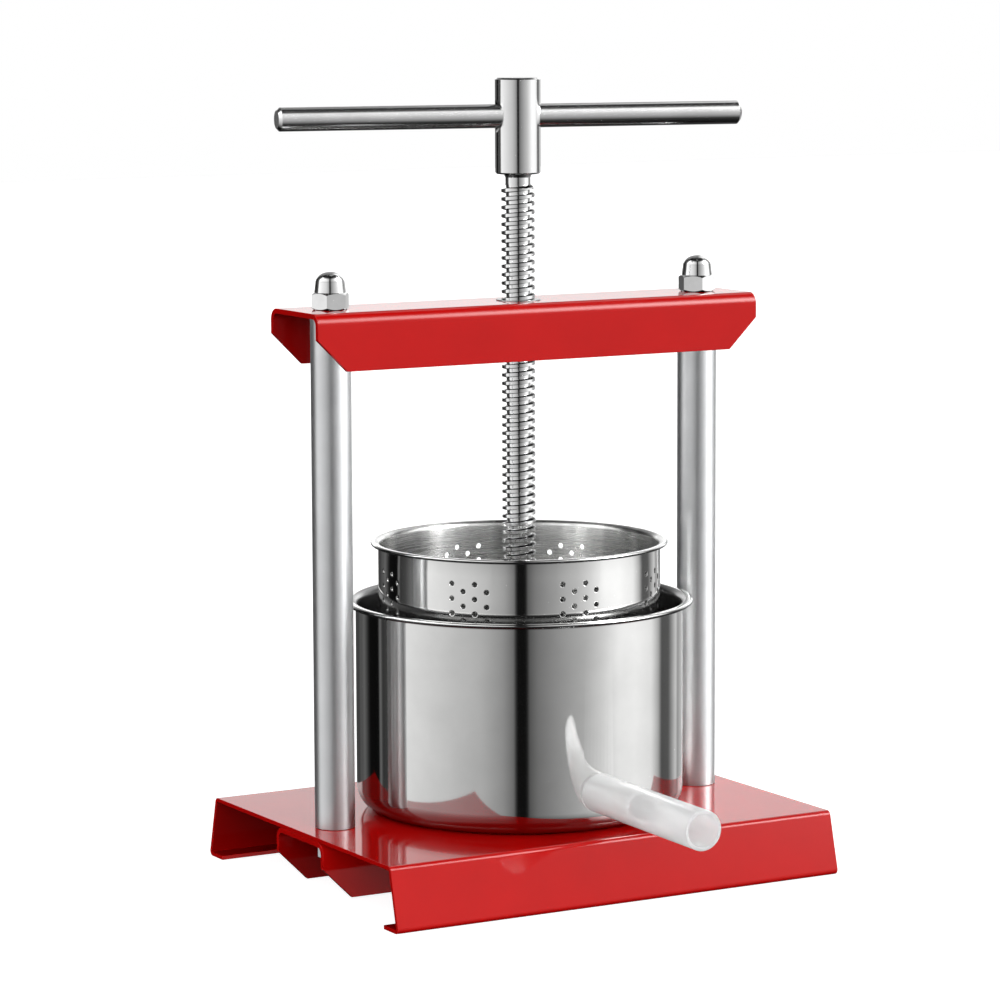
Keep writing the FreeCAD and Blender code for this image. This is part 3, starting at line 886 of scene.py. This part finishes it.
# What the gloss shows, as brightness at degrees to the right of the direction towards the
# camera, and at degrees above the horizon
BOXES_AROUND = [
    (-180, 0.04), (-158, 0.015), (-142, 0.11), (-134, 0.02), (-131, 0.004), (-118, 0.003),
    (-116, 0.16), (-113, 0.03), (-106, 0.05), (-97, 0.13), (-94, 0.82), (-27, 0.46), (-12, 0.31),
    (-4, 0.16), (-2.4, 0.005), (5.4, 0.005), (6.6, 0.09), (13, 0.18), (48, 0.46), (60, 0.62),
    (74, 0.88), (89, 0.92), (106, 0.80), (115, 0.40), (119, 0.08), (130, 0.09), (136, 0.28),
    (144, 0.56), (149, 0.28), (162, 0.48), (173, 0.02), (180, 0.02)]
BOXES_UPWARDS = [
    (-90, 0.003), (-62, 0.005), (-44, 0.025), (-35, 0.10), (-27, 0.21), (-18, 0.29), (-8, 0.385),
    (-1, 0.41), (7.5, 0.50), (16, 0.58), (24, 0.66), (50, 0.66), (56, 0.20), (62, 0.03), (90, 0.01)]
WALL_AROUND = [(-180, 1), (-152, 1), (-148, 0), (-90, 0), (90, 0), (148, 0), (152, 1), (180, 1)]
WALL_UPWARDS = [
    (-90, 0.003), (-6, 0.01), (-1, 0.03), (2, 0.26), (5, 0.40), (12, 0.42), (20, 0.10), (60, 0.05),
    (75, 0.01), (90, 0.01)]
GLOSS_POWER = 3.1
LAMP_TURN = 78
LAMP_HEIGHT = 30
LAMP_CORE = 5
LAMP_SPREAD = 25
LAMP_POWER = 15.0
FRONT_LIGHT = 2.85
REAR_LIGHT = 1.3
FRONT_LIGHT_ENDS = (20, 60)
FRONT_LIGHT_SIDEWAYS = 0.35
SKY_LIGHT = 0.22
SKY_FOOT = (-6, 0)
FLOOR_HALF_WIDTH = 6
FLOOR_DROP = 0.2 * MM
FLOOR_GLOW = 0.9
TOP_LIGHT_PLACE = Vector((-0.3, -0.6, 1.8))
TOP_LIGHT_TARGET = Vector((0, 0, 0.1))
TOP_LIGHT_WIDTH = 1.6
TOP_LIGHT_WATTS = 1.5


def build_camera():
    """Long lens, a little above the beam, from the front left."""
    data = bpy.data.cameras.new("camera")
    data.lens = CAMERA_LENS
    data.sensor_width = CAMERA_SENSOR
    data.clip_end = CAMERA_REACH
    camera = bpy.data.objects.new("camera", data)
    bpy.context.scene.collection.objects.link(camera)
    look = (CAMERA_TARGET - CAMERA_PLACE).to_track_quat("-Z", "Y").to_matrix().to_4x4()
    camera.matrix_world = Matrix.Translation(CAMERA_PLACE) @ look @ Matrix.Rotation(CAMERA_ROLL, 4, "Z")
    bpy.context.scene.camera = camera


def build_floor():
    """Wide pale floor with the faintest mottling. Other surfaces see the studio in its place."""
    size = FLOOR_HALF_WIDTH
    material, tree, shader = new_material("pale_floor")
    set_inputs(shader, Roughness=0.9, Emission_Color=(1, 1, 1, 1), Emission_Strength=FLOOR_GLOW)
    mottle = ramp(tree, noise(tree, position(tree), 3, 3), 0, 1)
    surface = blend_colours(tree, mottle, (0.56, 0.56, 0.56), (0.52, 0.52, 0.52))
    tree.links.new(surface, shader.inputs["Base Color"])
    corners = [(-size, -size, 0), (size, -size, 0), (size, size, 0), (-size, size, 0)]
    floor = piece("studio_floor", corners, [(0, 1, 2, 3)], [material])
    floor.location.z = -FLOOR_DROP
    floor.visible_glossy = False
    floor.visible_diffuse = False


def curve_node(tree, source, stops, low, high):
    """A value read from stops of (source, value), the source running from low to high."""
    place = ramp(tree, source, 0, 1, low, high)
    node = add(tree, "ShaderNodeValToRGB")
    elements = node.color_ramp.elements
    while len(elements) > 1:
        elements.remove(elements[-1])
    for i, (stop, value) in enumerate(stops):
        at = (stop - low) / (high - low)
        element = elements[0] if i == 0 else elements.new(at)
        element.position = at
        element.color = (value, value, value, 1)
    tree.links.new(place, node.inputs["Fac"])
    return node.outputs["Color"]


def build_studio():
    """The world, different for each kind of ray. Matt surfaces get soft light from the camera's
    side, weaker light from behind and an even sky. Glossy rays meet soft boxes left and right of
    the camera, dark flags beside them, a bright wall behind, a hot lamp high on the right, a dark
    ceiling and a dark floor. All others meet plain white."""
    world = bpy.data.worlds.new("studio")
    bpy.context.scene.world = world
    world.use_nodes = True
    world.cycles.sampling_method = "NONE"
    tree = world.node_tree
    tree.nodes.clear()
    coordinates = add(tree, "ShaderNodeTexCoord")
    front = Vector((CAMERA_PLACE.x, CAMERA_PLACE.y, 0)).normalized()
    right = Vector((-front.y, front.x, 0))

    def along(axis):
        node = add(tree, "ShaderNodeVectorMath", operation="DOT_PRODUCT")
        node.inputs[1].default_value = axis
        tree.links.new(coordinates.outputs["Generated"], node.inputs[0])
        return node.outputs["Value"]

    def maths(operation, first, second):
        node = add(tree, "ShaderNodeMath", operation=operation)
        tree.links.new(first, node.inputs[0])
        if isinstance(second, (int, float)):
            node.inputs[1].default_value = second
        else:
            tree.links.new(second, node.inputs[1])
        return node.outputs[0]

    turn = maths("MULTIPLY", maths("ARCTAN2", along(right), along(front)), 180 / math.pi)
    rise = maths("MULTIPLY", maths("ARCSINE", along(UP), 0), 180 / math.pi)
    boxes = curve_node(tree, turn, BOXES_AROUND, -180, 180)
    boxes = maths("MULTIPLY", boxes, curve_node(tree, rise, BOXES_UPWARDS, -90, 90))
    wall = curve_node(tree, turn, WALL_AROUND, -180, 180)
    wall = maths("MULTIPLY", wall, curve_node(tree, rise, WALL_UPWARDS, -90, 90))
    lamp_turn = math.radians(LAMP_TURN)
    lamp_height = math.radians(LAMP_HEIGHT)
    lamp = front * math.cos(lamp_turn) + right * math.sin(lamp_turn)
    lamp = lamp * math.cos(lamp_height) + UP * math.sin(lamp_height)
    near = math.cos(math.radians(LAMP_CORE))
    far = math.cos(math.radians(LAMP_SPREAD))
    glow = maths("POWER", ramp(tree, along(lamp), 0, 1, far, near), 2)
    hot = maths("MULTIPLY", glow, LAMP_POWER)
    gloss = maths("ADD", maths("MULTIPLY", maths("ADD", boxes, wall), GLOSS_POWER), hot)
    reflected = add(tree, "ShaderNodeBackground")
    tree.links.new(gloss, reflected.inputs["Color"])

    facing = along(front + right * FRONT_LIGHT_SIDEWAYS)
    frontal = maths("MULTIPLY", maths("MAXIMUM", facing, 0.0), FRONT_LIGHT)
    rear = maths("MULTIPLY", maths("MINIMUM", facing, 0.0), -REAR_LIGHT)
    low_sky = ramp(tree, rise, 1, 0, *FRONT_LIGHT_ENDS)
    sides = maths("MULTIPLY", maths("ADD", frontal, rear), low_sky)
    sky = maths("MULTIPLY", maths("ADD", sides, SKY_LIGHT), ramp(tree, rise, 0, 1, *SKY_FOOT))
    soft = add(tree, "ShaderNodeBackground")
    tree.links.new(sky, soft.inputs["Color"])
    backdrop = add(tree, "ShaderNodeBackground", Color=(1, 1, 1, 1), Strength=1.0)

    path = add(tree, "ShaderNodeLightPath")
    first = add(tree, "ShaderNodeMixShader")
    tree.links.new(path.outputs["Is Diffuse Ray"], first.inputs["Fac"])
    tree.links.new(backdrop.outputs[0], first.inputs[1])
    tree.links.new(soft.outputs[0], first.inputs[2])
    second = add(tree, "ShaderNodeMixShader")
    tree.links.new(path.outputs["Is Glossy Ray"], second.inputs["Fac"])
    tree.links.new(first.outputs[0], second.inputs[1])
    tree.links.new(reflected.outputs[0], second.inputs[2])
    output = add(tree, "ShaderNodeOutputWorld")
    tree.links.new(second.outputs[0], output.inputs["Surface"])


def build_top_light():
    """Wide soft light from above, which brightens the floor round the press."""
    data = bpy.data.lights.new("top_light", "AREA")
    data.shape = "SQUARE"
    data.size = TOP_LIGHT_WIDTH
    data.energy = TOP_LIGHT_WATTS
    light = bpy.data.objects.new("top_light", data)
    light.location = TOP_LIGHT_PLACE
    heading = TOP_LIGHT_TARGET - light.location
    light.rotation_euler = heading.to_track_quat("-Z", "Y").to_euler()
    light.visible_glossy = False
    bpy.context.scene.collection.objects.link(light)


build_camera()
build_floor()
build_studio()
build_top_light()
bpy.context.scene.view_settings.view_transform = "Standard"
